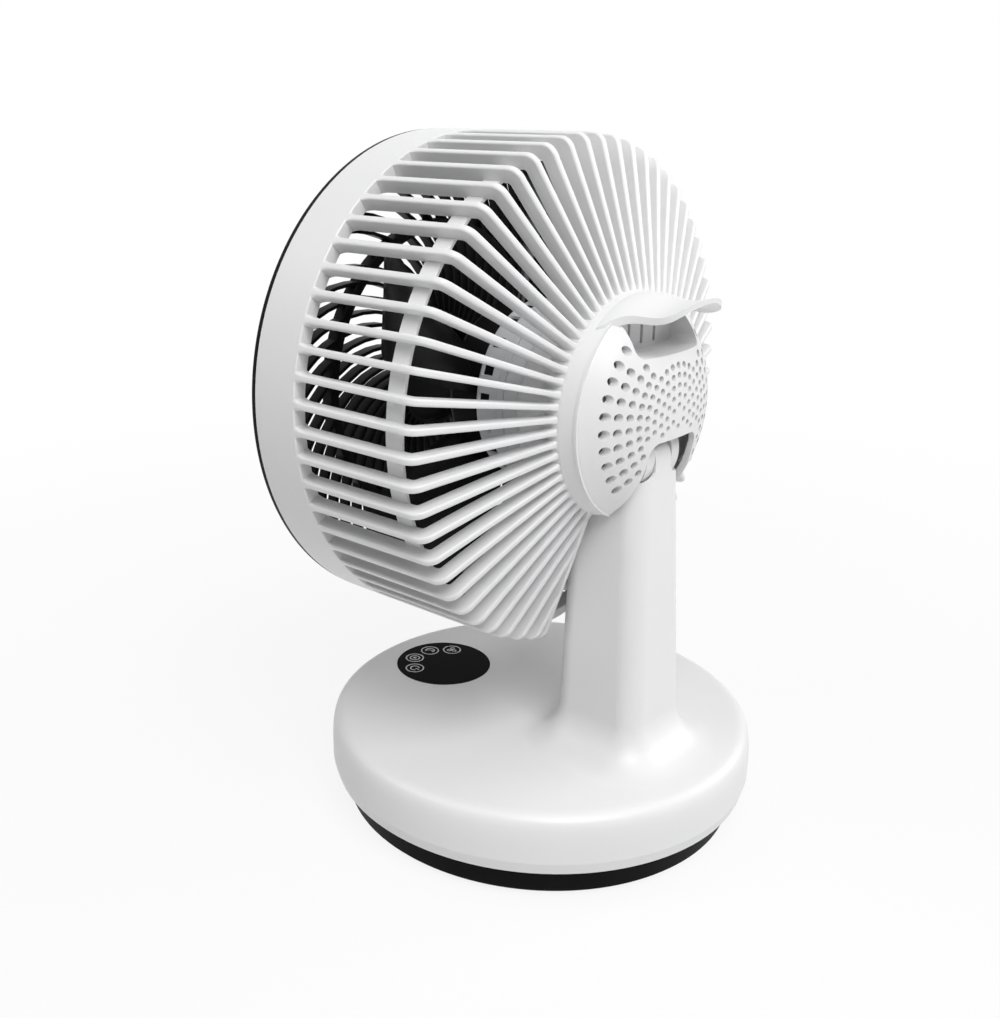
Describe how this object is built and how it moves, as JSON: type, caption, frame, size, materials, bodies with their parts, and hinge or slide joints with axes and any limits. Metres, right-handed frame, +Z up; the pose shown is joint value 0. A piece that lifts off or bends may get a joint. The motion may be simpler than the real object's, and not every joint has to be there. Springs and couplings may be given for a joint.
{
  "type": "desk air circulator fan",
  "caption": "Desk air circulator with a ribbed drum head that tilts on a flat column, a domed rear cap with a finger pocket, and a round base with a touch panel that turns on its foot.",
  "frame": {"origin": "centre of the foot on the surface it stands on, which is also on the pan axis", "axes": "+Z up; air is blown towards -Y, so the control panel is on the -Y side and the column on the +Y side; +X is to the right when seen from the front"},
  "size_m": [0.244, 0.22, 0.3395],
  "materials": {
    "white_plastic": "satin moulded",
    "grey_plastic": "satin moulded",
    "black_plastic": "satin moulded",
    "blade_black": "smoky moulded",
    "panel_black": "polished",
    "rubber_black": "matt",
    "steel_plate": "zinc plated",
    "steel_bright": "bright",
    "copper": "enamelled wire",
    "board_green": "coated board",
    "lamp_plastic": "diffuse",
    "gear_plastic": "natural moulded",
    "lead_jacket": "matt"
  },
  "bodies": {
    "foot": {"foot_plate": "black_plastic", "foot_pads": "rubber_black", "ballast_plate": "steel_plate", "ballast_screws": "steel_bright", "power_inlet": "black_plastic", "inlet_lead": "lead_jacket", "pan_gear": "gear_plastic", "pan_retainer": "steel_plate", "retainer_screws": "steel_bright"},
    "turning_base": {"base_floor": "white_plastic", "floor_screws": "steel_bright", "base_housing": "white_plastic", "control_panel": "panel_black", "control_board": "board_green", "touch_springs": "steel_bright", "indicator_lamps": "lamp_plastic", "pan_motor": "steel_plate", "pan_motor_screws": "steel_bright", "column_lead": "lead_jacket"},
    "drive_pinion": {"pan_pinion": "gear_plastic"},
    "head": {"rear_guard": "white_plastic", "front_grille": "black_plastic", "grille_screws": "steel_bright", "rear_cap": "white_plastic", "motor_cup": "grey_plastic", "cup_screws": "steel_bright", "bearings": "steel_bright", "stator_core": "steel_plate", "stator_windings": "copper", "motor_board": "board_green", "hinge_cheeks": "white_plastic", "cheek_screws": "steel_bright", "tilt_pin": "steel_bright", "pin_clip": "steel_bright", "friction_washers": "rubber_black"},
    "rotor": {"fan_blade": "blade_black", "rotor_shaft": "steel_bright", "rotor_magnet": "steel_plate", "blade_nut": "blade_black"}
  },
  "joints": [
    {"name": "pan", "type": "hinge", "parent": "foot", "child": "turning_base", "pos_m": [0, 0, 0.02], "axis": [0, 0, 1], "range_deg": [-45, 45]},
    {"name": "pinion_spin", "type": "hinge", "parent": "turning_base", "child": "drive_pinion", "pos_m": [-0.02598, -0.015, 0.0107], "axis": [0, 0, 1], "range_deg": [-180, 180]},
    {"name": "tilt", "type": "hinge", "parent": "turning_base", "child": "head", "pos_m": [0, 0.0467, 0.1973], "axis": [-1, 0, 0], "range_deg": [-8, 35]},
    {"name": "fan_spin", "type": "hinge", "parent": "head", "child": "rotor", "pos_m": [0, 0, 0.2175], "axis": [0, -1, 0], "continuous": true}
  ],
  "couplings": [
    {"joint": "pinion_spin", "follows": "pan", "ratio": 4}
  ]
}
